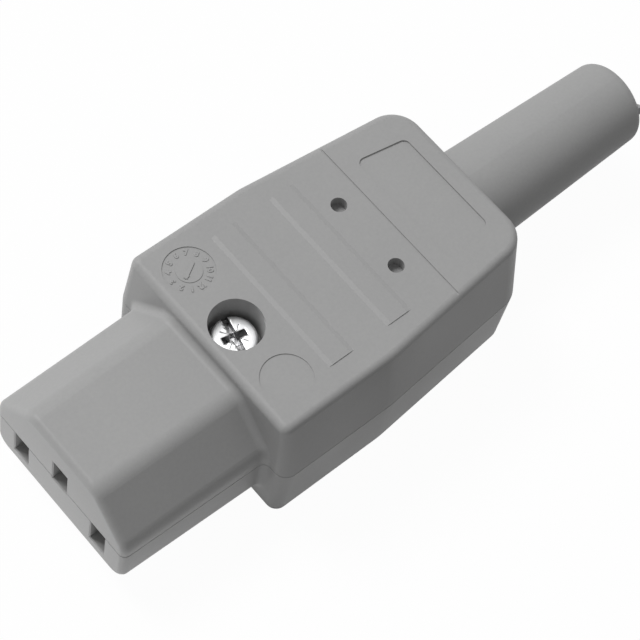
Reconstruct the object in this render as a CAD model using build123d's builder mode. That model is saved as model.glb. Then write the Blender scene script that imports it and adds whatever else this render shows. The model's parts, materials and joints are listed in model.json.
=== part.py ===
from build123d import *
import os

# Rewirable appliance connector with two half shells, three flat pin slots and a cord guard.
# The nose points along +X, the cord leaves along -X, and the underside lies on Z = 0.
# Millimetres.

# Overall sizes
nose_length = 20.3
body_length = 39.8
guard_length = 28.1
body_height = 19.5
seam_z = 9.2

# Where the lengths end, with the origin under the middle of the whole connector
gate_length = 0.35
overall_length = nose_length + body_length + guard_length + gate_length
mating_x = overall_length / 2
shoulder_x = mating_x - nose_length
rear_x = shoulder_x - body_length
guard_end_x = rear_x - guard_length

# Plan of the body: sizes at the underside, the seam and the top face
front_half_width = (15.05, 15.35, 13.9)
rear_half_width = (13.0, 13.35, 11.5)
rear_inset = (0.5, 0.0, 0.0)
taper_start_x = shoulder_x - 16.5
front_corner_radius = (1.4, 1.7, 1.1)
taper_corner_radius = 12.0
rear_corner_radius = (2.6, 3.4, 4.0)
top_edge_radius = 1.0
bottom_edge_chamfer = 0.3
seam_edge_break = 0.12

# Nose, a six-sided section with its two chamfered corners on the earth side
nose_width = 24.0
nose_height = 15.15
nose_base_z = 2.25
nose_draft = 0.35
nose_chamfer = 5.75
nose_edge_radius = 2.8
nose_bottom_radius = 2.2
nose_front_radius = 0.9
nose_root_radius = 1.0
nose_front_wall = 2.2

# Walls and the inside of the body
side_wall = 2.0
roof_wall = 2.0
floor_wall = 2.0
shoulder_wall = 2.0
cavity_corner_radius = 1.0
lip_height = 0.8
lip_width = 0.7
lip_setback = 0.1
lip_clearance = 0.1
lip_margin = 1.0

# Pins of the mating inlet: 2 mm thick, 4 mm high, 14 mm apart, earth 4 mm above the others
pin_width = 2.0
pin_height = 4.0
pin_pitch = 14.0
earth_rise = 4.0
live_z = 6.95
slot_side_gap = 0.25
slot_end_gap = 0.1
slot_lead_in = 0.15

# Folded brass socket and its steel spring clip
leaf_thickness = 0.5
leaf_root_gap = 3.1
grip_interference = 0.2
leaf_mouth_gap = 3.0
strip_thickness = 0.6
strip_clearance = 0.3
strip_width = 3.2
root_length = 5.0
grip_setback = 3.5
joggle_start = 0.2
joggle_lead = 0.4
joggle_overlap = 1.0
joggle_end_x = shoulder_x + 0.5
jog_start = 0.3
tongue_overrun = 0.4
socket_length = 15.0
socket_setback = 0.6
spring_thickness = 0.35
spring_length = 4.0
spring_setback = 0.5
spring_arm_height = 2.6
fit_clearance = 0.05
pocket_clearance = 0.25

# Terminal cages and their clamping screws
cage_length = 6.5
cage_width = 6.0
cage_wall = 1.2
cage_window_height = 4.6
cage_edge_radius = 0.4
live_cage_y = 9.3
live_cage_front_x = shoulder_x - 5.0
earth_cage_front_x = shoulder_x - 10.4
terminal_screw_diameter = 3.0
terminal_head_diameter = 4.5
terminal_head_height = 1.6
terminal_head_gap = 0.3
terminal_tip_rise = 2.4
terminal_slot_width = 0.8
terminal_slot_depth = 0.7

# Housing screw, its nut and the boss around them
screw_x = shoulder_x - 4.5
screw_diameter = 3.0
screw_past_nut = 0.5
screw_tip_chamfer = 0.4
screw_hole_gap = 0.2
screw_head_diameter = 5.5
screw_head_height = 2.2
screw_head_radius = 0.5
screw_sink = 2.8
counterbore_gap = 0.6
drive_angle = 78.0
drive_slot_width = 0.9
drive_slot_depth = 1.2
drive_cross_width = 1.1
drive_cross_length = 3.4
drive_cross_depth = 1.5
boss_wall = 1.2
spigot_wall = 0.9
nut_across_flats = 5.5
nut_height = 2.4
nut_pocket_clearance = 0.1
nut_z = 3.0
nut_corner_chamfer = 0.3
nut_turned_ratio = 1.15
ring_clearance = 0.2
ring_width = 1.3

# Insulating partitions and the seats of the cages
partition_gap = 0.2
partition_thickness = 1.2
partition_front_x = shoulder_x - 3.0
partition_rear_x = shoulder_x - 17.5
seat_rib_thickness = 1.0
seat_rib_spread = 3.6
seat_rib_width = 5.6

# Cord clamp
clamp_x = shoulder_x - 24.3
clamp_screw_gap = 1.5
clamp_hole_diameter = 2.0
clamp_hole_depth = 1.5
clamp_screw_diameter = 2.6
clamp_screw_tip_z = 15.4
clamp_boss_diameter = 4.6
clamp_boss_z = 13.2
clamp_bar_end = 2.9
clamp_bar_width = 6.0
clamp_bar_height = 3.6
clamp_head_diameter = 4.6
clamp_head_height = 1.8
clamp_slot_width = 0.8
clamp_slot_depth = 0.8
clamp_bar_corner_radius = 0.6
clamp_bar_clearance = 0.15
clamp_groove_depth = 0.4
clamp_groove_width = 1.1
clamp_groove_spread = 2.8
saddle_depth = 2.1
tip_clearance = 0.1
cord_diameter = 7.2
anvil_rib_thickness = 1.2
anvil_rib_spread = 3.4
anvil_z = 12.4

# Cord guard and its groove
guard_z = 10.0
guard_root_wall = 2.4
guard_end_wall = 1.5
guard_bore_gap = 0.5
guard_neck_step = 0.5
guard_edge_radius = 1.4
guard_shoulder_radius = 0.3
guard_gap = 0.2
cord_passage_gap = 0.3
flange_step = 1.5
gate_width = 0.9
gate_radius = 4.75
gate_angle = 32.0
gate_sink = 0.9
flange_thickness = 2.2
groove_clearance = 0.15
rear_wall = 2.6
groove_wall = 1.6

# Marks of the top face
dial_x = shoulder_x - 4.65
dial_y = 8.7
dial_diameter = 6.3
dial_depth = 0.12
dial_hub_diameter = 3.2
dial_hub_height = 0.08
dial_bar_width = 0.45
dial_bar_length = 2.4
dial_bar_height = 0.12
dial_bar_angle = 30.0
grip_rib_rows = (shoulder_x - 11.2, shoulder_x - 19.95)
grip_rib_width = 2.5
grip_rib_length = 21.0
grip_rib_height = 0.12
grip_rib_slope = 0.6
witness_x = shoulder_x - 27.6
witness_width = 0.25
witness_depth = 0.12
panel_front_x = shoulder_x - 29.9
panel_rear_x = shoulder_x - 36.9
panel_front_half_width = 8.55
panel_rear_half_width = 7.4
panel_corner_radius = 0.9
panel_depth = 0.2

# Working allowances: how far a cut runs past a face, and how far a boss or rib is sunk in a wall
cut_overrun = 1.0
cut_overlap = 0.5
root_sink = 0.2
match_tolerance = 0.05
hex_corner_ratio = 2 / 3**0.5

# Sizes and places that follow from the sizes above
slot_width = pin_width + 2 * slot_side_gap
slot_height = pin_height + 2 * slot_end_gap
leaf_grip_gap = pin_width - grip_interference
screw_hole_diameter = screw_diameter + 2 * screw_hole_gap
counterbore_diameter = screw_head_diameter + 2 * counterbore_gap
spigot_diameter = screw_hole_diameter + 2 * spigot_wall
guard_bore_radius = cord_diameter / 2 + guard_bore_gap
guard_root_radius = guard_bore_radius + guard_root_wall
guard_end_radius = guard_bore_radius + guard_end_wall
guard_neck_radius = guard_root_radius - guard_neck_step
flange_radius = guard_neck_radius + flange_step
nose_top_z = nose_base_z + nose_height
pocket_front_x = mating_x - nose_front_wall
socket_front_x = pocket_front_x - socket_setback
socket_rear_x = socket_front_x - socket_length
cavity_front_x = shoulder_x - shoulder_wall
flange_rear_x = rear_x + rear_wall + groove_clearance
flange_front_x = flange_rear_x + flange_thickness
cavity_rear_x = flange_front_x + groove_clearance + groove_wall
earth_z = live_z + earth_rise
roof_z = body_height - roof_wall
strip_rise = pin_height / 2 + strip_clearance
tongue_z = live_z + strip_rise
cage_top_z = tongue_z + strip_thickness + cage_wall
cage_height = cage_window_height + 2 * cage_wall
cage_base_z = cage_top_z - cage_height
screw_head_base_z = body_height - screw_sink - screw_head_height
screw_tip_z = nut_z - screw_past_nut
terminal_head_top_z = cage_base_z - terminal_head_gap
pocket_half_width = leaf_root_gap / 2 + leaf_thickness + spring_thickness + pocket_clearance
boss_radius = counterbore_diameter / 2 + boss_wall
nut_pocket_radius = nut_across_flats / 2 + nut_pocket_clearance
nut_boss_radius = nut_pocket_radius * hex_corner_ratio + boss_wall
ring_radius = spigot_diameter / 2 + ring_clearance + ring_width
partition_y = ring_radius + partition_gap + partition_thickness / 2
clamp_half_spacing = cord_diameter / 2 + clamp_screw_gap
clamp_bar_length = 2 * (clamp_half_spacing + clamp_bar_end)
clamp_bar_top_z = guard_z - cord_diameter / 2 + saddle_depth
clamp_bar_base_z = clamp_bar_top_z - clamp_bar_height
poles = {
    "line": (pin_pitch / 2, live_z),
    "neutral": (-pin_pitch / 2, live_z),
    "earth": (0.0, earth_z),
}
cage_places = {
    "line": (live_cage_y, live_cage_front_x),
    "neutral": (-live_cage_y, live_cage_front_x),
    "earth": (0.0, earth_cage_front_x),
}


def at_height(levels, z):
    """Value of a size at height z, from its values at the underside, the seam and the top."""
    bottom, seam, top = levels
    if z <= seam_z:
        return bottom + (seam - bottom) * z / seam_z
    return seam + (top - seam) * (z - seam_z) / (body_height - seam_z)


def body_plan(z, inset=0.0, front=shoulder_x, rear=None):
    """Plan of the body at height z as a sketch, with its sides moved in by inset.

    Without a rear it is the outside, and with one it is a space inside the walls.
    """
    wide = at_height(front_half_width, z) - inset
    narrow = at_height(rear_half_width, z) - inset
    full_rear = rear_x + at_height(rear_inset, z)
    slope = (wide - narrow) / (taper_start_x - full_rear)
    back = full_rear if rear is None else rear
    back_half = wide - slope * (taper_start_x - back)
    outline = [
        (front, wide),
        (taper_start_x, wide),
        (back, back_half),
        (back, -back_half),
        (taper_start_x, -wide),
        (front, -wide),
    ]
    with BuildSketch(Plane.XY.offset(z)) as plan:
        Polygon(*outline, align=None)
        if rear is None:
            corner_radii = (at_height(front_corner_radius, z), at_height(rear_corner_radius, z))
        else:
            corner_radii = (cavity_corner_radius, cavity_corner_radius)
        fillet(plan.vertices().group_by(Axis.X)[-1], corner_radii[0])
        fillet(plan.vertices().group_by(Axis.X)[0], corner_radii[1])
        bends = plan.vertices().filter_by_position(
            Axis.X, taper_start_x - match_tolerance, taper_start_x + match_tolerance
        )
        fillet(bends, taper_corner_radius)
    return plan.sketch


def nose_section(x, draft):
    """Six-sided section of the nose at x, drawn in by draft all round."""
    half = nose_width / 2 - draft
    low, high = nose_base_z + draft, nose_top_z - draft
    outline = [
        (-half, low),
        (half, low),
        (half, high - nose_chamfer),
        (half - nose_chamfer, high),
        (-half + nose_chamfer, high),
        (-half, high - nose_chamfer),
    ]
    with BuildSketch(Plane.YZ.offset(x)) as section:
        Polygon(*outline, align=None)
        fillet(section.vertices().group_by(Axis.Y)[0], nose_bottom_radius)
        fillet(section.vertices().filter_by_position(Axis.Y, low + nose_chamfer, high), nose_edge_radius)
    return section.sketch


def block(x_range, y_range, z_range, mode=Mode.ADD):
    """Box between two corners, made in the builder that is open."""
    ranges = (x_range, y_range, z_range)
    with Locations(tuple((low + high) / 2 for low, high in ranges)):
        Box(*(high - low for low, high in ranges), mode=mode)


def post(x, y, radius, z_range, mode=Mode.ADD):
    """Upright cylinder between two heights, made in the builder that is open."""
    low, high = z_range
    with Locations((x, y, (low + high) / 2)):
        Cylinder(radius, high - low, mode=mode)


def bar(radius, x_range, mode=Mode.SUBTRACT):
    """Cylinder along the cord's axis, made in the builder that is open."""
    low, high = x_range
    with Locations(Location(((low + high) / 2, 0, guard_z), (0, 90, 0))):
        Cylinder(radius, high - low, mode=mode)


def half_shell(upper):
    """Outer form of one half, solid, with its rounded edges and the break along the seam."""
    with BuildPart() as nose:
        loft([nose_section(shoulder_x - shoulder_wall, 0.0), nose_section(mating_x, nose_draft)])
        front = nose.faces().sort_by(Axis.X)[-1]
        fillet(front.edges(), nose_front_radius)
        split(bisect_by=Plane.XY.offset(seam_z), keep=Keep.TOP if upper else Keep.BOTTOM)
    with BuildPart() as half:
        far_z = body_height if upper else 0.0
        loft([body_plan(seam_z), body_plan(far_z)])
        flat = half.faces().sort_by(Axis.Z)[-1 if upper else 0]
        if upper:
            fillet(flat.edges(), top_edge_radius)
        else:
            chamfer(flat.edges(), bottom_edge_chamfer)
        add(nose.part)
        root = [
            edge
            for edge in half.edges()
            if abs(edge.center().X - shoulder_x) < match_tolerance
            and abs(edge.center().Y) < nose_width / 2 + match_tolerance
            and nose_base_z - match_tolerance < edge.center().Z < nose_top_z + match_tolerance
            and abs(edge.center().Z - seam_z) > match_tolerance
        ]
        fillet(root, nose_root_radius)
        seam_face = half.faces().sort_by(Axis.Z)[0 if upper else -1]
        chamfer(seam_face.edges(), seam_edge_break)
    return half.part


def hollow(low, high):
    """Space inside the body walls between two heights."""
    with BuildPart() as space:
        loft([body_plan(z, side_wall, cavity_front_x, cavity_rear_x) for z in (low, high)])
    return space.part


def lip(outer_inset, inner_inset, height):
    """Band standing on the seam inside the side walls, between two insets from the outside."""
    span = (partition_front_x, cavity_rear_x + lip_margin)
    with BuildPart() as band:
        add(body_plan(seam_z, outer_inset, *span))
        extrude(amount=height)
        add(body_plan(seam_z, inner_inset, *span))
        extrude(amount=height, mode=Mode.SUBTRACT)
    return band.part


def cut_poles():
    """Slots in the mating face and the pockets of the sockets behind them."""
    for y, z in poles.values():
        top = z + strip_rise + strip_thickness + spring_thickness + fit_clearance + pocket_clearance
        low = z - slot_height / 2
        block(
            (cavity_front_x - cut_overlap, pocket_front_x),
            (y - pocket_half_width, y + pocket_half_width),
            (low, top),
            Mode.SUBTRACT,
        )
        block(
            (pocket_front_x - cut_overlap, mating_x + cut_overrun),
            (y - slot_width / 2, y + slot_width / 2),
            (low, low + slot_height),
            Mode.SUBTRACT,
        )
        mouth = []
        for x, spread in ((mating_x - slot_lead_in, 0.0), (mating_x, slot_lead_in)):
            with BuildSketch(Plane.YZ.offset(x)) as opening:
                with Locations((y, low + slot_height / 2)):
                    Rectangle(slot_width + 2 * spread, slot_height + 2 * spread)
            mouth.append(opening.sketch)
        loft(mouth, mode=Mode.SUBTRACT)


def cut_guard_seat():
    """Groove for the flange of the guard, the bore behind it and the cord's passage."""
    levels = (min(guard_z, seam_z), max(guard_z, seam_z))
    spans = (
        (
            flange_radius + groove_clearance,
            flange_rear_x - groove_clearance,
            flange_front_x + groove_clearance,
        ),
        (guard_neck_radius + groove_clearance, rear_x - cut_overrun, flange_rear_x),
        (guard_bore_radius + cord_passage_gap, flange_front_x, cavity_rear_x + cut_overlap),
    )
    for radius, low, high in spans:
        bar(radius, (low, high))
        if levels[1] > levels[0]:
            block((low, high), (-radius, radius), levels, Mode.SUBTRACT)


def add_partitions(low, high):
    """The two walls that keep the terminals apart."""
    for side in (-1, 1):
        inner = side * partition_y - partition_thickness / 2
        block(
            (partition_rear_x, partition_front_x),
            (inner, inner + partition_thickness),
            (low, high),
        )


# Upper shell
with BuildPart() as upper_shell:
    add(half_shell(True))
    add(hollow(seam_z, roof_z), mode=Mode.SUBTRACT)
    cut_poles()
    ring_space = ring_radius + pocket_clearance
    ring_top_z = tongue_z + strip_thickness + pocket_clearance
    post(screw_x, 0, ring_space, (seam_z - cut_overlap, ring_top_z), Mode.SUBTRACT)
    groove_inset = side_wall - lip_setback - lip_width - lip_clearance
    add(lip(groove_inset, side_wall + cut_overlap, lip_height + lip_clearance), mode=Mode.SUBTRACT)
    add_partitions(seam_z, roof_z + root_sink)
    # Seat ribs above the cages
    for y, front in cage_places.values():
        for offset in (-seat_rib_spread / 2, seat_rib_spread / 2):
            x = front - cage_length / 2 + offset
            block(
                (x - seat_rib_thickness / 2, x + seat_rib_thickness / 2),
                (y - seat_rib_width / 2, y + seat_rib_width / 2),
                (cage_top_z, roof_z + root_sink),
            )
    # Boss of the housing screw
    post(screw_x, 0, boss_radius, (screw_head_base_z - boss_wall, roof_z + root_sink))
    post(screw_x, 0, spigot_diameter / 2, (seam_z, screw_head_base_z))
    post(screw_x, 0, screw_hole_diameter / 2, (seam_z - cut_overrun, body_height), Mode.SUBTRACT)
    counterbore_z = (screw_head_base_z, body_height + cut_overrun)
    post(screw_x, 0, counterbore_diameter / 2, counterbore_z, Mode.SUBTRACT)
    # Cord clamp: anvil ribs between two screw bosses
    for offset in (-anvil_rib_spread / 2, anvil_rib_spread / 2):
        x = clamp_x + offset
        block(
            (x - anvil_rib_thickness / 2, x + anvil_rib_thickness / 2),
            (-clamp_half_spacing, clamp_half_spacing),
            (anvil_z, roof_z + root_sink),
        )
    clamp_boss_span = (clamp_boss_z, roof_z + root_sink)
    for side in (-1, 1):
        post(clamp_x, side * clamp_half_spacing, clamp_boss_diameter / 2, clamp_boss_span)
    bar(cord_diameter / 2, (clamp_x - clamp_bar_width / 2, clamp_x + clamp_bar_width / 2))
    for side in (-1, 1):
        y = side * clamp_half_spacing
        pilot = clamp_screw_diameter / 2 + fit_clearance
        post(clamp_x, y, pilot, (anvil_z - cut_overrun, clamp_screw_tip_z + tip_clearance), Mode.SUBTRACT)
        hole_z = (body_height - clamp_hole_depth, body_height + cut_overrun)
        post(clamp_x, y, clamp_hole_diameter / 2, hole_z, Mode.SUBTRACT)
    cut_guard_seat()
    # Raised grip ribs
    for x in grip_rib_rows:
        half_top = grip_rib_width / 2
        half_base = half_top + grip_rib_slope
        with BuildSketch(Plane.XZ.offset(-grip_rib_length / 2)):
            Polygon(
                (x - half_base, body_height - root_sink),
                (x - half_base, body_height),
                (x - half_top, body_height + grip_rib_height),
                (x + half_top, body_height + grip_rib_height),
                (x + half_base, body_height),
                (x + half_base, body_height - root_sink),
                align=None,
            )
        extrude(amount=grip_rib_length)
    # Witness line, label recess and the two round marks
    block(
        (witness_x - witness_width / 2, witness_x + witness_width / 2),
        (-front_half_width[1], front_half_width[1]),
        (body_height - witness_depth, body_height + cut_overrun),
        Mode.SUBTRACT,
    )
    with BuildSketch(Plane.XY.offset(body_height)) as panel:
        Polygon(
            (panel_front_x, panel_front_half_width),
            (panel_rear_x, panel_rear_half_width),
            (panel_rear_x, -panel_rear_half_width),
            (panel_front_x, -panel_front_half_width),
            align=None,
        )
        fillet(panel.vertices(), panel_corner_radius)
    extrude(amount=-panel_depth, mode=Mode.SUBTRACT)
    floor = body_height - dial_depth
    for side in (-1, 1):
        post(dial_x, side * dial_y, dial_diameter / 2, (floor, body_height + cut_overrun), Mode.SUBTRACT)
    # Dial on the left: a hub with a bar across it
    hub_top_z = floor + dial_hub_height
    post(dial_x, -dial_y, dial_hub_diameter / 2, (floor - root_sink, hub_top_z))
    with Locations(Location((dial_x, -dial_y, hub_top_z), (0, 0, dial_bar_angle))):
        Box(dial_bar_length, dial_bar_width, 2 * dial_bar_height)

# Lower shell
with BuildPart() as lower_shell:
    add(half_shell(False))
    add(hollow(floor_wall, seam_z), mode=Mode.SUBTRACT)
    cut_poles()
    add_partitions(floor_wall - root_sink, seam_z)
    nut_top_z = nut_z + nut_height
    post(screw_x, 0, nut_boss_radius, (floor_wall - root_sink, nut_top_z + boss_wall))
    post(screw_x, 0, screw_hole_diameter / 2 + boss_wall, (nut_top_z, seam_z))
    post(screw_x, 0, screw_hole_diameter / 2, (0, seam_z + cut_overrun), Mode.SUBTRACT)
    with BuildSketch(Plane.XY):
        with Locations((screw_x, 0)):
            RegularPolygon(nut_pocket_radius, 6, major_radius=False)
    extrude(amount=nut_top_z, mode=Mode.SUBTRACT)
    add(lip(side_wall - lip_setback - lip_width, side_wall - lip_setback, lip_height))
    cut_guard_seat()

# Cord guard: flange, neck and tapered sleeve, turned about the cord's axis
with BuildPart() as cord_guard:
    sleeve_root_x = rear_x - guard_gap
    with BuildSketch(Plane.XZ) as profile:
        Polygon(
            (flange_front_x, guard_z + guard_bore_radius),
            (flange_front_x, guard_z + flange_radius),
            (flange_rear_x, guard_z + flange_radius),
            (flange_rear_x, guard_z + guard_neck_radius),
            (sleeve_root_x, guard_z + guard_neck_radius),
            (sleeve_root_x, guard_z + guard_root_radius),
            (guard_end_x, guard_z + guard_end_radius),
            (guard_end_x, guard_z + guard_bore_radius),
            align=None,
        )
        end_rim = profile.vertices().filter_by(
            lambda corner: abs(corner.Y - guard_z - guard_end_radius) < match_tolerance
        )
        fillet(end_rim, guard_edge_radius)
        root_rim = profile.vertices().filter_by(
            lambda corner: abs(corner.Y - guard_z - guard_root_radius) < match_tolerance
        )
        fillet(root_rim, guard_shoulder_radius)
    revolve(axis=Axis((0, 0, guard_z), (1, 0, 0)))
    # Stub of the moulding gate on the end rim
    gate_x = guard_end_x + (gate_sink - gate_length) / 2
    with Locations(Location((gate_x, 0, guard_z), (gate_angle, 0, 0))):
        with Locations((0, gate_radius, 0)):
            Box(gate_length + gate_sink, gate_width, gate_width)

# Housing screw, with a slot across a cross recess
with BuildPart() as housing_screw:
    head_top_z = screw_head_base_z + screw_head_height
    post(screw_x, 0, screw_head_diameter / 2, (screw_head_base_z, head_top_z))
    fillet(housing_screw.faces().sort_by(Axis.Z)[-1].edges(), screw_head_radius)
    post(screw_x, 0, screw_diameter / 2, (screw_tip_z, screw_head_base_z))
    chamfer(housing_screw.faces().sort_by(Axis.Z)[0].edges(), screw_tip_chamfer)
    with Locations(Location((screw_x, 0, head_top_z), (0, 0, drive_angle))):
        Box(screw_head_diameter + cut_overrun, drive_slot_width, 2 * drive_slot_depth, mode=Mode.SUBTRACT)
        Box(drive_cross_length, drive_cross_width, 2 * drive_cross_depth, mode=Mode.SUBTRACT)
        Box(drive_cross_width, drive_cross_length, 2 * drive_cross_depth, mode=Mode.SUBTRACT)

# Housing nut, a hexagon with its corners turned off
with BuildPart() as housing_nut:
    post(screw_x, 0, nut_across_flats * nut_turned_ratio / 2, (nut_z, nut_z + nut_height))
    chamfer(housing_nut.edges().filter_by(GeomType.CIRCLE), nut_corner_chamfer)
    with BuildSketch(Plane.XY.offset(nut_z)):
        with Locations((screw_x, 0)):
            RegularPolygon(nut_across_flats / 2, 6, major_radius=False)
    extrude(amount=nut_height, mode=Mode.INTERSECT)
    tapped_radius = screw_diameter / 2 + fit_clearance
    tapped_z = (nut_z - cut_overrun, nut_z + nut_height + cut_overrun)
    post(screw_x, 0, tapped_radius, tapped_z, Mode.SUBTRACT)


def leaf_line(start_x, end_x, offset):
    """Plan points of one side of a socket leaf, from the root towards its grip or mouth."""
    root_end_x = socket_rear_x + root_length
    grip_x = socket_front_x - grip_setback
    stations = [
        (start_x, leaf_root_gap / 2),
        (root_end_x, leaf_root_gap / 2),
        (grip_x, leaf_grip_gap / 2),
        (socket_front_x, leaf_mouth_gap / 2),
    ]
    return [(x, half + offset) for x, half in stations if x <= end_x + match_tolerance]


def leaf_outline(y, side, start_x, end_x, offset, thickness):
    """Closed plan outline of a leaf or a spring arm on one side of a pin."""
    inner = leaf_line(start_x, end_x, offset)
    outer = leaf_line(start_x, end_x, offset + thickness)
    return [(x, y + side * half) for x, half in inner + outer[::-1]]


def make_contact(name):
    """Folded socket with its strip, which ends as the tongue in the terminal cage."""
    y, z = poles[name]
    strip_z = z + strip_rise
    root_half = leaf_root_gap / 2 + leaf_thickness
    half = strip_width / 2
    with BuildPart() as contact:
        for side in (-1, 1):
            with BuildSketch(Plane.XY.offset(z - pin_height / 2)):
                Polygon(
                    *leaf_outline(y, side, socket_rear_x, socket_front_x, 0, leaf_thickness),
                    align=None,
                )
            extrude(amount=pin_height + strip_clearance)
        block(
            (socket_rear_x, socket_rear_x + root_length),
            (y - root_half, y + root_half),
            (strip_z, strip_z + strip_thickness),
        )
        if name == "earth":
            tail_x = earth_cage_front_x - cage_length - tongue_overrun
            with BuildSketch(Plane.XZ.offset(-half)):
                Polygon(
                    (socket_rear_x + joggle_overlap, strip_z),
                    (socket_rear_x + joggle_overlap, strip_z + strip_thickness),
                    (socket_rear_x - joggle_start, strip_z + strip_thickness),
                    (joggle_end_x, tongue_z + strip_thickness),
                    (tail_x, tongue_z + strip_thickness),
                    (tail_x, tongue_z),
                    (joggle_end_x + joggle_lead, tongue_z),
                    (socket_rear_x - joggle_start + joggle_lead, strip_z),
                    align=None,
                )
            extrude(amount=strip_width)
            post(screw_x, 0, ring_radius, (tongue_z, tongue_z + strip_thickness))
            ring_cut_z = (tongue_z - cut_overrun, tongue_z + strip_thickness + cut_overrun)
            post(screw_x, 0, ring_radius - ring_width, ring_cut_z, Mode.SUBTRACT)
        else:
            cage_y = live_cage_y if y > 0 else -live_cage_y
            tail_x = live_cage_front_x - cage_length - tongue_overrun
            with BuildSketch(Plane.XY.offset(strip_z)):
                Polygon(
                    (socket_rear_x, y - half),
                    (cavity_front_x - jog_start, y - half),
                    (live_cage_front_x + jog_start, cage_y - half),
                    (tail_x, cage_y - half),
                    (tail_x, cage_y + half),
                    (live_cage_front_x + jog_start, cage_y + half),
                    (cavity_front_x - jog_start, y + half),
                    (socket_rear_x, y + half),
                    align=None,
                )
            extrude(amount=strip_thickness)
    return contact


def make_spring(name):
    """Steel clip over the root of a socket, with two arms that press its leaves together."""
    y, z = poles[name]
    arm_start_x = socket_rear_x + spring_setback
    grip_x = socket_front_x - grip_setback
    inner = leaf_root_gap / 2 + leaf_thickness + fit_clearance
    outer = inner + spring_thickness
    low = z - spring_arm_height / 2
    roof = z + strip_rise + strip_thickness + fit_clearance
    saddle = (arm_start_x, arm_start_x + spring_length)
    with BuildPart() as clip:
        for side in (-1, 1):
            with BuildSketch(Plane.XY.offset(low)):
                outline = leaf_outline(
                    y, side, arm_start_x, grip_x, leaf_thickness + fit_clearance, spring_thickness
                )
                Polygon(*outline, align=None)
            extrude(amount=spring_arm_height)
        block(saddle, (y - outer, y + outer), (low, roof + spring_thickness))
        block(
            (arm_start_x - cut_overrun, arm_start_x + spring_length + cut_overrun),
            (y - inner, y + inner),
            (low - cut_overrun, roof),
            Mode.SUBTRACT,
        )
    return clip


def make_cage(y, front_x):
    """Terminal cage: a window for the tongue and the wire, tapped in its lower wall."""
    with BuildPart() as cage:
        rear = front_x - cage_length
        block((rear, front_x), (y - cage_width / 2, y + cage_width / 2), (cage_base_z, cage_top_z))
        fillet(cage.edges().filter_by(Axis.X), cage_edge_radius)
        window = cage_width / 2 - cage_wall
        block(
            (rear - cut_overrun, front_x + cut_overrun),
            (y - window, y + window),
            (cage_base_z + cage_wall, cage_top_z - cage_wall),
            Mode.SUBTRACT,
        )
        post(
            rear + cage_length / 2,
            y,
            terminal_screw_diameter / 2 + fit_clearance,
            (cage_base_z - cut_overrun, cage_base_z + cage_wall + cut_overlap),
            Mode.SUBTRACT,
        )
    return cage


def make_slotted_screw(x, y, head_radius, head_z, shank_radius, tip_z, slot):
    """Screw driven from below: head between two heights, slot in its underside."""
    slot_width_across, slot_depth_up = slot
    with BuildPart() as screw:
        post(x, y, head_radius, head_z)
        post(x, y, shank_radius, (head_z[1], tip_z))
        chamfer(screw.faces().sort_by(Axis.Z)[-1].edges(), screw_tip_chamfer)
        block(
            (x - slot_width_across / 2, x + slot_width_across / 2),
            (y - head_radius - cut_overrun, y + head_radius + cut_overrun),
            (head_z[0] - cut_overrun, head_z[0] + slot_depth_up),
            Mode.SUBTRACT,
        )
    return screw


# Sockets, springs, terminal cages and terminal screws of the three poles
pieces = {}
for pole, (cage_y, cage_front_x) in cage_places.items():
    pieces[pole + "_contact"] = make_contact(pole)
    pieces[pole + "_spring"] = make_spring(pole)
    pieces[pole + "_clamp"] = make_cage(cage_y, cage_front_x)
    pieces[pole + "_terminal_screw"] = make_slotted_screw(
        cage_front_x - cage_length / 2,
        cage_y,
        terminal_head_diameter / 2,
        (terminal_head_top_z - terminal_head_height, terminal_head_top_z),
        terminal_screw_diameter / 2,
        cage_base_z + cage_wall + terminal_tip_rise,
        (terminal_slot_width, terminal_slot_depth),
    )

# Cord clamp: a saddle bar under the cord, held up by two tapping screws
with BuildPart() as cord_clamp_bar:
    half_width = clamp_bar_width / 2
    half_length = clamp_bar_length / 2
    block(
        (clamp_x - half_width, clamp_x + half_width),
        (-half_length, half_length),
        (clamp_bar_base_z, clamp_bar_top_z),
    )
    fillet(cord_clamp_bar.edges().filter_by(Axis.Z), clamp_bar_corner_radius)
    bar(cord_diameter / 2, (clamp_x - half_width - cut_overrun, clamp_x + half_width + cut_overrun))
    for offset in (-clamp_groove_spread / 2, clamp_groove_spread / 2):
        x = clamp_x + offset
        half_groove = clamp_groove_width / 2
        bar(cord_diameter / 2 + clamp_groove_depth, (x - half_groove, x + half_groove))
    for side in (-1, 1):
        post(
            clamp_x,
            side * clamp_half_spacing,
            clamp_screw_diameter / 2 + clamp_bar_clearance,
            (clamp_bar_base_z - cut_overrun, clamp_bar_top_z + cut_overrun),
            Mode.SUBTRACT,
        )
pieces["cord_clamp_bar"] = cord_clamp_bar
for name, side in (("cord_clamp_screw_left", -1), ("cord_clamp_screw_right", 1)):
    pieces[name] = make_slotted_screw(
        clamp_x,
        side * clamp_half_spacing,
        clamp_head_diameter / 2,
        (clamp_bar_base_z - clamp_head_height, clamp_bar_base_z),
        clamp_screw_diameter / 2,
        clamp_screw_tip_z,
        (clamp_slot_width, clamp_slot_depth),
    )

pieces["upper_shell"] = upper_shell
pieces["lower_shell"] = lower_shell
pieces["cord_guard"] = cord_guard
pieces["housing_screw"] = housing_screw
pieces["housing_nut"] = housing_nut
os.makedirs("parts", exist_ok=True)
for name, piece in pieces.items():
    piece.part.label = name
    export_step(piece.part, f"parts/{name}.step")
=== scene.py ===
import json
import math
from collections import namedtuple

import bmesh
import bpy
from mathutils import Matrix, Vector


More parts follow.
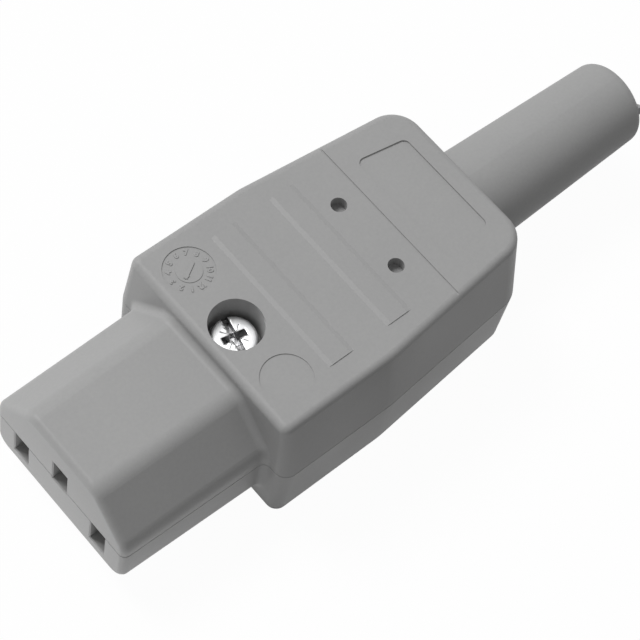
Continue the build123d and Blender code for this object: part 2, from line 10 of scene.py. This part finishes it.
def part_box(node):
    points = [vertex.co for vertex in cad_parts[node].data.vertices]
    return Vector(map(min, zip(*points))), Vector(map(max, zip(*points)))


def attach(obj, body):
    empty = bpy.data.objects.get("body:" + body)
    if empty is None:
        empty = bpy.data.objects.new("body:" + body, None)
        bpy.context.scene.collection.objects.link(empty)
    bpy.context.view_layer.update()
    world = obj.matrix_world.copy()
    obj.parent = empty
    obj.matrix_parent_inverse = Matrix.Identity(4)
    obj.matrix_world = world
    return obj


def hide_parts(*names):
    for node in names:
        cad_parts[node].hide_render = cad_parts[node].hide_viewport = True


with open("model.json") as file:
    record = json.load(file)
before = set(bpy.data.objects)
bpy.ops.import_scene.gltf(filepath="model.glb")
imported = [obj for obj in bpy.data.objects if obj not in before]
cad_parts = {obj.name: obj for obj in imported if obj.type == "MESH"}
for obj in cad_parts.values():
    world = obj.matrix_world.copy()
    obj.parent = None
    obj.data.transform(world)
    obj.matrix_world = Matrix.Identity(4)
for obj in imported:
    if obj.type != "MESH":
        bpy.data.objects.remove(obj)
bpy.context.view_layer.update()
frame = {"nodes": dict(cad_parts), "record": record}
scene = bpy.context.scene
MM = 0.001
WHITE = (1.0, 1.0, 1.0, 1.0)

# Month dial, in millimetres. Its centre, floor and arrow repeat the places of the CAD model's dial.
DIAL_CENTRE = (19.325, -8.7)
DIAL_FLOOR_Z = 19.38
MONTHS = 12
NUMERAL_CIRCLE_RADIUS = 2.4
NUMERAL_HEIGHT = 0.95
NUMERAL_RELIEF = 0.03
NUMERAL_BOLDER = 0.035
NUMERAL_RESOLUTION = 3
ARROW_ANGLE = math.radians(30.0)
ARROW_HEAD = ((1.3, 0.0), (0.7, 0.36), (0.7, -0.36))
ARROW_Z = (19.40, 19.565)

# Threads, in millimetres. A thread's form is given in shares of its pitch, from crest to crest.
Thread = namedtuple("Thread", "shank_radius pitch depth")
M3 = Thread(shank_radius=1.5, pitch=0.5, depth=0.3)
TAPPING = Thread(shank_radius=1.3, pitch=1.0, depth=0.36)
CREST_SHARE = 0.12
ROOT_SHARES = (0.52, 0.62)
SCREW_SIDES = 48
ROWS_PER_PITCH = 8
TIP_CHAMFER = 0.4

# Head of the housing screw, a low dome: radius and height of each of its rings, its top at zero
HOUSING_HEAD = (
    (0.4, 0.0),
    (1.2, -0.005),
    (1.8, -0.015),
    (2.2, -0.03),
    (2.4, -0.045),
    (2.58, -0.08),
    (2.68, -0.16),
    (2.73, -0.3),
    (2.75, -0.5),
    (2.75, -2.1),
    (2.66, -2.2),
)
HOUSING_THREAD_LENGTH = 8.0

# Cuts in its head: half length and half width at the top and at the floor, and both heights
Cut = namedtuple("Cut", "top floor floor_z top_z")
TICK = Cut(top=(1.75, 0.05), floor=(1.75, 0.03), floor_z=-0.07, top_z=0.1)
WIDE_SLOT = Cut(top=(3.2, 0.42), floor=(3.2, 0.36), floor_z=-0.95, top_z=0.3)
CROSS_ARM = Cut(top=(1.62, 0.44), floor=(0.55, 0.3), floor_z=-1.5, top_z=0.1)
CROSS_HUB = Cut(top=(0.62, 0.62), floor=(0.45, 0.45), floor_z=-1.25, top_z=0.1)
DRIVE_ANGLE = 78.0

# Cheese heads of the other screws: how far each ring lies in from the rim, and its height
CHEESE_MIDDLE_RADIUS = 0.3
CHEESE_RINGS = ((0.4, 0.0), (0.18, -0.06), (0.05, -0.2), (0.0, -0.4))
CHEESE_UNDER_CHAMFER = 0.08
CHEESE_SLOT_TOP = (0.42, 3.0)
CHEESE_SLOT_FLOOR = (0.38, 3.0)
CHEESE_SLOT_TOP_Z = 0.3

# Camera, solved from the photograph's edges. Its place is in millimetres.
PHOTO_SIDE_PX = 640
FOCAL_PX = 2260.92
CENTRE_PX = (318.01, 319.53)
AZIMUTH = math.radians(37.323)
ELEVATION = math.radians(60.193)
ROLL = math.radians(13.846)
CAMERA_AT = (113.0937, 82.4309, 242.2102)
SENSOR_MM = 36.0

# Light and ground, in metres. Part of the ground throws light back at the connector.
KEY_AIM = (0.005, 0.0, 0.01)
KEY_DIRECTION = (0.11, -0.54, 0.82)
KEY_DISTANCE = 1.5
KEY_SIZE = 0.6
KEY_POWER = 14.9
WORLD_LEVEL = 0.335
FLOOR_SIDE = 4.0
FLOOR_DROP = 0.02 * MM
FLOOR_GREY = 0.08
FLOOR_MOTTLE = 1.03
FLOOR_SEEN_GREY = 0.9
FLOOR_SHADOW_SHARE = 0.035
BOUNCE_LEVEL = 1.45
BOUNCE_X = (0.020, 0.050)
BOUNCE_Y = (0.045, 0.0)


# Materials
class Nodes:
    """The node tree of a material or a world, with short ways to add and join its nodes."""

    # A noise's values lie mostly between these two
    NOISE_MIDDLE = (0.3, 0.7)
    # The colour mix node's sockets, which have the same names as its plain ones
    MIX_FIRST, MIX_SECOND, MIX_RESULT = 6, 7, 2

    def __init__(self, owner, output_kind):
        self.owner = owner
        owner.use_nodes = True
        self.tree = owner.node_tree
        self.tree.nodes.clear()
        self.output = self.add(output_kind)

    def add(self, kind, sockets=None, **settings):
        node = self.tree.nodes.new(kind)
        for name, value in settings.items():
            setattr(node, name, value)
        for name, value in (sockets or {}).items():
            node.inputs[name].default_value = value
        return node

    def join(self, source, target):
        self.tree.links.new(source, target)

    def place(self):
        """Where a point lies on the object."""
        return self.add("ShaderNodeTexCoord").outputs["Object"]

    def noise(self, coordinates, scale, detail=2.0):
        node = self.add("ShaderNodeTexNoise", {"Scale": scale, "Detail": detail})
        self.join(coordinates, node.inputs["Vector"])
        return node.outputs["Fac"]

    def ramp(self, source, ends, low=0.0, high=1.0, **settings):
        """Takes the range between two ends to the range from low to high, and holds it there."""
        sockets = {"From Min": ends[0], "From Max": ends[1], "To Min": low, "To Max": high}
        node = self.add("ShaderNodeMapRange", sockets, **settings)
        self.join(source, node.inputs["Value"])
        return node.outputs["Result"]

    def spread(self, noise, low=0.0, high=1.0):
        return self.ramp(noise, self.NOISE_MIDDLE, low, high)

    def maths(self, operation, first, second):
        """Sum, product or such of a socket with another socket or with a number."""
        node = self.add("ShaderNodeMath", operation=operation)
        self.join(first, node.inputs[0])
        if isinstance(second, float):
            node.inputs[1].default_value = second
        else:
            self.join(second, node.inputs[1])
        return node.outputs[0]

    def tint(self, factor, first, second):
        node = self.add("ShaderNodeMix", data_type="RGBA")
        node.inputs[self.MIX_FIRST].default_value = (*first, 1)
        node.inputs[self.MIX_SECOND].default_value = (*second, 1)
        self.join(factor, node.inputs[0])
        return node.outputs[self.MIX_RESULT]

    def bump(self, height, strength, depth, normal=None):
        node = self.add("ShaderNodeBump", {"Strength": strength, "Distance": depth})
        self.join(height, node.inputs["Height"])
        if normal is not None:
            self.join(normal, node.inputs["Normal"])
        return node.outputs["Normal"]

    def choose(self, factor, first, second):
        """Mixes two shaders by a socket or a number."""
        node = self.add("ShaderNodeMixShader")
        if isinstance(factor, float):
            node.inputs[0].default_value = factor
        else:
            self.join(factor, node.inputs[0])
        self.join(first.outputs[0], node.inputs[1])
        self.join(second.outputs[0], node.inputs[2])
        return node

    def seen(self):
        """One where the lens, a reflection or a view through glass meets the surface, else zero."""
        path = self.add("ShaderNodeLightPath")
        either = self.maths("MAXIMUM", path.outputs["Is Camera Ray"], path.outputs["Is Glossy Ray"])
        return self.maths("MAXIMUM", either, path.outputs["Is Transmission Ray"])

    def finish(self, shader):
        self.join(shader.outputs[0], self.output.inputs[0])
        return self.owner


def new_material(name):
    return Nodes(bpy.data.materials.new(name), "ShaderNodeOutputMaterial")


def moulded_plastic(name, dark, light, roughness, grain_mm, grain_depth_mm):
    """Matt moulded plastic: a spark-eroded grain, and faint flow marks in colour and gloss."""
    m = new_material(name)
    place = m.place()
    shader = m.add("ShaderNodeBsdfPrincipled", {"IOR": 1.49, "Specular IOR Level": 0.35})
    clouds = m.noise(place, scale=90.0, detail=3.0)
    fleck = m.noise(place, scale=2600.0, detail=1.0)
    mixed = m.maths("ADD", m.maths("MULTIPLY", fleck, 0.45), m.maths("MULTIPLY", clouds, 0.55))
    m.join(m.tint(m.spread(mixed), dark, light), shader.inputs["Base Color"])
    m.join(m.spread(clouds, roughness - 0.04, roughness + 0.04), shader.inputs["Roughness"])
    ripple = m.bump(m.noise(place, scale=160.0, detail=1.0), strength=0.25, depth=0.05 * MM)
    pores = m.noise(place, scale=1 / (grain_mm * MM))
    grain = m.bump(pores, strength=0.5, depth=grain_depth_mm * MM, normal=ripple)
    m.join(grain, shader.inputs["Normal"])
    return m.finish(shader)


def plated_steel(name, dark, light, roughness, turned=False):
    """Zinc over steel. A turned piece also has tool marks round its own axis."""
    m = new_material(name)
    place = m.place()
    shader = m.add("ShaderNodeBsdfPrincipled", {"Metallic": 1.0})
    film = m.noise(place, scale=700.0, detail=3.0)
    m.join(m.tint(m.spread(film), dark, light), shader.inputs["Base Color"])
    m.join(m.spread(film, roughness - 0.05, roughness + 0.05), shader.inputs["Roughness"])
    relief = m.bump(m.noise(place, scale=5200.0), strength=0.25, depth=0.01 * MM)
    if turned:
        marks = m.add(
            "ShaderNodeTexWave",
            {"Scale": 1500.0, "Distortion": 1.5},
            wave_type="RINGS",
            rings_direction="Z",
        )
        m.join(place, marks.inputs["Vector"])
        relief = m.bump(marks.outputs["Fac"], strength=0.3, depth=0.006 * MM, normal=relief)
    m.join(relief, shader.inputs["Normal"])
    return m.finish(shader)


def rolled_metal(name, dark, light, low_gloss, high_gloss):
    """Rolled strip, with fine lines along the connector and slight tarnish."""
    m = new_material(name)
    place = m.place()
    shader = m.add("ShaderNodeBsdfPrincipled", {"Metallic": 1.0})
    drawn = m.add("ShaderNodeMapping", {"Scale": (0.05, 1.0, 1.0)})
    m.join(place, drawn.inputs["Vector"])
    tarnish = m.noise(place, scale=320.0, detail=4.0)
    m.join(m.tint(m.spread(tarnish), dark, light), shader.inputs["Base Color"])
    m.join(m.spread(tarnish, high_gloss, low_gloss), shader.inputs["Roughness"])
    lines = m.bump(m.noise(drawn.outputs[0], scale=6000.0), strength=0.3, depth=0.008 * MM)
    m.join(lines, shader.inputs["Normal"])
    return m.finish(shader)


def pale_ground(name):
    """Plain pale ground: white to the lens, with a share of its shadows kept, and dim as a light.

    The light that it throws back shows on the connector alone. It comes from the ground ahead of
    the nose, on the key light's side.
    """
    m = new_material(name)
    place = m.place()
    plain = m.add("ShaderNodeBsdfDiffuse")
    grey = (FLOOR_GREY,) * 3
    mottled = m.tint(m.noise(place, scale=8.0), grey, tuple(c * FLOOR_MOTTLE for c in grey))
    m.join(mottled, plain.inputs["Color"])
    sides = m.add("ShaderNodeSeparateXYZ")
    m.join(place, sides.inputs[0])
    ahead, key_side = (
        m.ramp(sides.outputs[axis], ends, interpolation_type="SMOOTHSTEP")
        for axis, ends in (("X", BOUNCE_X), ("Y", BOUNCE_Y))
    )
    level = m.maths("MULTIPLY", m.maths("MULTIPLY", ahead, key_side), BOUNCE_LEVEL)
    bounce = m.add("ShaderNodeEmission", {"Color": WHITE})
    m.join(level, bounce.inputs["Strength"])
    unseen = m.add("ShaderNodeAddShader")
    m.join(plain.outputs[0], unseen.inputs[0])
    m.join(bounce.outputs[0], unseen.inputs[1])
    shaded = m.add("ShaderNodeBsdfDiffuse", {"Color": (*(FLOOR_SEEN_GREY,) * 3, 1.0)})
    white = m.add("ShaderNodeEmission", {"Color": WHITE, "Strength": 1.0})
    return m.finish(m.choose(m.seen(), unseen, m.choose(1 - FLOOR_SHADOW_SHARE, shaded, white)))


housing = moulded_plastic(
    "housing_plastic",
    dark=(0.335, 0.335, 0.335),
    light=(0.365, 0.365, 0.363),
    roughness=0.50,
    grain_mm=0.22,
    grain_depth_mm=0.012,
)
guard = moulded_plastic(
    "guard_plastic",
    dark=(0.33, 0.33, 0.33),
    light=(0.36, 0.36, 0.358),
    roughness=0.56,
    grain_mm=0.30,
    grain_depth_mm=0.016,
)
zinc = plated_steel("zinc_steel", dark=(0.80, 0.81, 0.83), light=(0.93, 0.93, 0.94), roughness=0.30)
turned_zinc = plated_steel(
    "turned_zinc", dark=(0.86, 0.87, 0.88), light=(0.97, 0.97, 0.97), roughness=0.42, turned=True
)
# Dark zinc for the faces cut into the screw heads: painted shade of their slots and recesses, darker
# than the plated heads
recess_painted_shade_zinc = plated_steel(
    "recess_painted_shade_zinc", dark=(0.10, 0.10, 0.10), light=(0.62, 0.62, 0.63), roughness=0.30
)
brass = rolled_metal(
    "contact_brass",
    dark=(0.60, 0.43, 0.20),
    light=(0.86, 0.69, 0.38),
    low_gloss=0.38,
    high_gloss=0.24,
)
spring = rolled_metal(
    "spring_steel",
    dark=(0.42, 0.42, 0.43),
    light=(0.60, 0.60, 0.61),
    low_gloss=0.42,
    high_gloss=0.28,
)

MATERIALS = {
    "housing_plastic": housing,
    "guard_plastic": guard,
    "zinc_steel": zinc,
    "contact_brass": brass,
    "spring_steel": spring,
}
for part in frame["record"]["subparts"]:
    node = frame["nodes"][part["node"]]
    node.data.materials.clear()
    node.data.materials.append(MATERIALS[part["material_slot"]])


# Pieces
def to_object(made, name, materials, at=(0, 0, 0), head_down=False):
    """Object from a bmesh, riding on the part's one body."""
    mesh = bpy.data.meshes.new(name)
    made.to_mesh(mesh)
    made.free()
    piece = bpy.data.objects.new(name, mesh)
    piece.location = at
    piece.rotation_euler = (math.pi if head_down else 0, 0, 0)
    scene.collection.objects.link(piece)
    for material in materials:
        piece.data.materials.append(material)
    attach(piece, "root")
    return piece


def numeral_mesh(number):
    """Plain raised numeral as a mesh about its own middle, in metres."""
    curve = bpy.data.curves.new("numeral", "FONT")
    curve.body = str(number)
    curve.size = NUMERAL_HEIGHT * MM
    curve.align_x = "CENTER"
    curve.align_y = "CENTER"
    curve.extrude = NUMERAL_RELIEF * MM
    curve.bevel_depth = NUMERAL_RELIEF * MM
    curve.offset = NUMERAL_BOLDER * MM
    curve.resolution_u = NUMERAL_RESOLUTION
    holder = bpy.data.objects.new("numeral", curve)
    mesh = bpy.data.meshes.new_from_object(holder)
    bpy.data.objects.remove(holder)
    bpy.data.curves.remove(curve)
    return mesh


def add_arrow_head(made):
    """Three-cornered head of the arrow on the dial's hub."""
    spin = Matrix.Rotation(ARROW_ANGLE, 3, "Z")
    middle = Vector((*DIAL_CENTRE, 0))
    flat = [middle + spin @ Vector((*point, 0)) for point in ARROW_HEAD]
    low, high = (
        [made.verts.new((point + Vector((0, 0, z))) * MM) for point in flat] for z in ARROW_Z
    )
    made.faces.new(low[::-1])
    made.faces.new(high)
    for corner in range(3):
        after = (corner + 1) % 3
        made.faces.new((low[corner], low[after], high[after], high[corner]))


def date_dial():
    """Numerals 1 to 12 round the month dial and the arrow on its hub."""
    made = bmesh.new()
    centre = Vector((*DIAL_CENTRE, DIAL_FLOOR_Z + NUMERAL_RELIEF)) * MM
    for number in range(1, MONTHS + 1):
        turn = math.radians(90 - 360 * number / MONTHS)
        outwards = Vector((math.cos(turn), math.sin(turn), 0))
        place = Matrix.Translation(centre + outwards * NUMERAL_CIRCLE_RADIUS * MM)
        mesh = numeral_mesh(number)
        mesh.transform(place @ Matrix.Rotation(turn - math.pi / 2, 4, "Z"))
        made.from_mesh(mesh)
        bpy.data.meshes.remove(mesh)
    add_arrow_head(made)
    to_object(made, "date_dial_numbers", [housing])


def thread_cut(share):
    """Depth of a thread at a share of its pitch, 0 on the crest and 1 in the root."""
    if share < CREST_SHARE:
        return 0.0
    if share < ROOT_SHARES[0]:
        return (share - CREST_SHARE) / (ROOT_SHARES[0] - CREST_SHARE)
    if share < ROOT_SHARES[1]:
        return 1.0
    return (1.0 - share) / (1.0 - ROOT_SHARES[1])


def turned_mesh(head, thread, tip_z, thread_end_z):
    """Screw about its own axis, head up and its top at zero: one closed skin with a thread."""
    shank = thread.shank_radius
    rows = [(radius, z, 0.0) for radius, z in head] + [(shank, head[-1][1], 0.0)]
    z = thread_end_z
    while z > tip_z:
        run_out = min((thread_end_z - z) / thread.pitch, 1.0)
        radius = min(shank, shank - TIP_CHAMFER + z - tip_z)
        rows.append((radius, z, run_out * thread.depth))
        z -= thread.pitch / ROWS_PER_PITCH
    rows.append((shank - TIP_CHAMFER, tip_z, 0.0))
    made = bmesh.new()
    rings = []
    for radius, z, depth in rows:
        ring = []
        for side in range(SCREW_SIDES):
            turn = 2 * math.pi * side / SCREW_SIDES
            cut = depth * thread_cut((z / thread.pitch - side / SCREW_SIDES) % 1.0)
            around = radius if depth == 0 else min(radius, shank - cut)
            point = Vector((around * math.cos(turn), around * math.sin(turn), z))
            ring.append(made.verts.new(point * MM))
        rings.append(ring)
    for upper, lower in zip(rings, rings[1:]):
        for side in range(SCREW_SIDES):
            after = (side + 1) % SCREW_SIDES
            face = made.faces.new((upper[side], lower[side], lower[after], upper[after]))
            face.smooth = True
    made.faces.new(rings[0])
    made.faces.new(rings[-1][::-1])
    bmesh.ops.recalc_face_normals(made, faces=made.faces)
    return made


def cutter_mesh(cut, degrees):
    """Tapered block of a cut, turned about the axis. Its faces take a second material, the zinc with
    painted shade for the recess.
    """
    spin = Matrix.Rotation(math.radians(degrees), 3, "Z")
    made = bmesh.new()
    corners = []
    for (half_x, half_y), z in ((cut.floor, cut.floor_z), (cut.top, cut.top_z)):
        for x, y in ((-1, -1), (1, -1), (1, 1), (-1, 1)):
            corners.append(made.verts.new(spin @ Vector((x * half_x, y * half_y, z)) * MM))
    for quad in ((3, 2, 1, 0), (4, 5, 6, 7), (0, 1, 5, 4), (1, 2, 6, 5), (2, 3, 7, 6), (3, 0, 4, 7)):
        face = made.faces.new([corners[index] for index in quad])
        face.material_index = 1
    mesh = bpy.data.meshes.new("cutter")
    made.to_mesh(mesh)
    made.free()
    return mesh


def cut_away(piece, cuts):
    """Makes each cut, at its turn in degrees, in a piece."""
    for cut, degrees in cuts:
        block = cutter_mesh(cut, degrees)
        cutter = bpy.data.objects.new("cutter", block)
        cutter.location = piece.location
        cutter.rotation_euler = piece.rotation_euler
        scene.collection.objects.link(cutter)
        step = piece.modifiers.new("cut", "BOOLEAN")
        step.operation = "DIFFERENCE"
        step.solver = "EXACT"
        step.object = cutter
        bpy.context.view_layer.update()
        graph = bpy.context.evaluated_depsgraph_get()
        result = bpy.data.meshes.new_from_object(piece.evaluated_get(graph))
        piece.modifiers.clear()
        old = piece.data
        piece.data = result
        bpy.data.meshes.remove(old)
        bpy.data.objects.remove(cutter)
        bpy.data.meshes.remove(block)


def housing_screw():
    """The bright screw of the counterbore: low dome, wide slot, cross recess and four ticks."""
    low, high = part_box("housing_screw")
    tip_z = (low.z - high.z) / MM
    made = turned_mesh(HOUSING_HEAD, M3, tip_z, tip_z + HOUSING_THREAD_LENGTH)
    place = ((low.x + high.x) / 2, (low.y + high.y) / 2, high.z)
    # The faces of the cuts take the zinc with painted shade
    materials = [turned_zinc, recess_painted_shade_zinc]
    piece = to_object(made, "housing_screw_turned", materials, place)
    cuts = [(TICK, DRIVE_ANGLE + 45), (TICK, DRIVE_ANGLE + 135), (WIDE_SLOT, DRIVE_ANGLE)]
    cuts += [(CROSS_ARM, DRIVE_ANGLE), (CROSS_ARM, DRIVE_ANGLE + 90), (CROSS_HUB, DRIVE_ANGLE + 45)]
    cut_away(piece, cuts)
    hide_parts("housing_screw")


def slotted_screw(name, thread, head_height, bare_length, slot_depth):
    """Cheese-head screw driven from below, its slot across the connector."""
    low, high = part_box(name)
    rim = (high.x - low.x) / 2 / MM
    head = [(CHEESE_MIDDLE_RADIUS, 0.0)] + [(rim - inset, z) for inset, z in CHEESE_RINGS]
    head += [(rim, CHEESE_UNDER_CHAMFER - head_height), (rim - CHEESE_UNDER_CHAMFER, -head_height)]
    made = turned_mesh(head, thread, (low.z - high.z) / MM, -head_height - bare_length)
    place = ((low.x + high.x) / 2, (low.y + high.y) / 2, low.z)
    # The faces of the slot take the zinc with painted shade
    materials = [turned_zinc, recess_painted_shade_zinc]
    piece = to_object(made, name + "_turned", materials, place, head_down=True)
    slot = Cut(CHEESE_SLOT_TOP, CHEESE_SLOT_FLOOR, floor_z=-slot_depth, top_z=CHEESE_SLOT_TOP_Z)
    cut_away(piece, [(slot, 0.0)])
    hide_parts(name)


date_dial()
housing_screw()
for pole in ("line", "neutral", "earth"):
    slotted_screw(
        pole + "_terminal_screw", M3, head_height=1.6, bare_length=0.3, slot_depth=0.7
    )
for side in ("left", "right"):
    slotted_screw(
        "cord_clamp_screw_" + side, TAPPING, head_height=1.8, bare_length=3.0, slot_depth=0.8
    )


# Stage and light
def pale_floor():
    ground = bmesh.new()
    bmesh.ops.create_grid(ground, x_segments=2, y_segments=2, size=FLOOR_SIDE / 2)
    mesh = bpy.data.meshes.new("floor")
    ground.to_mesh(mesh)
    ground.free()
    floor = bpy.data.objects.new("floor", mesh)
    floor.location = (0, 0, -FLOOR_DROP)
    scene.collection.objects.link(floor)
    floor.data.materials.append(pale_ground("pale_floor"))


def studio_world():
    """White where the lens or a reflection sees it, and a quiet light from all round."""
    w = Nodes(bpy.data.worlds.new("studio"), "ShaderNodeOutputWorld")
    ambient = w.add("ShaderNodeBackground", {"Color": WHITE, "Strength": WORLD_LEVEL})
    backdrop = w.add("ShaderNodeBackground", {"Color": WHITE, "Strength": 1.0})
    scene.world = w.finish(w.choose(w.seen(), ambient, backdrop))


def key_light():
    lamp = bpy.data.lights.new("key", "AREA")
    lamp.shape = "DISK"
    lamp.size = KEY_SIZE
    lamp.energy = KEY_POWER
    key = bpy.data.objects.new("key", lamp)
    towards = Vector(KEY_DIRECTION).normalized()
    key.location = Vector(KEY_AIM) + towards * KEY_DISTANCE
    key.rotation_euler = towards.to_track_quat("Z", "Y").to_euler()
    scene.collection.objects.link(key)


def photo_camera():
    """Camera of the photograph: its axes from three angles, its frame from lens and shift."""
    back = Vector(
        (
            math.cos(AZIMUTH) * math.cos(ELEVATION),
            math.sin(AZIMUTH) * math.cos(ELEVATION),
            math.sin(ELEVATION),
        )
    )
    level = Vector((0, 0, 1)).cross(back).normalized()
    upright = back.cross(level)
    right = math.cos(ROLL) * level + math.sin(ROLL) * upright
    up = -math.sin(ROLL) * level + math.cos(ROLL) * upright
    lens = bpy.data.cameras.new("camera")
    lens.sensor_width = SENSOR_MM
    lens.sensor_fit = "HORIZONTAL"
    lens.lens = FOCAL_PX * SENSOR_MM / PHOTO_SIDE_PX
    lens.shift_x = (PHOTO_SIDE_PX / 2 - CENTRE_PX[0]) / PHOTO_SIDE_PX
    lens.shift_y = (CENTRE_PX[1] - PHOTO_SIDE_PX / 2) / PHOTO_SIDE_PX
    lens.clip_start = 0.01
    camera = bpy.data.objects.new("camera", lens)
    turned = Matrix((right, up, back)).transposed().to_4x4()
    camera.matrix_world = Matrix.Translation(Vector(CAMERA_AT) * MM) @ turned
    scene.collection.objects.link(camera)
    scene.camera = camera


pale_floor()
studio_world()
key_light()
photo_camera()
scene.view_settings.view_transform = "Standard"
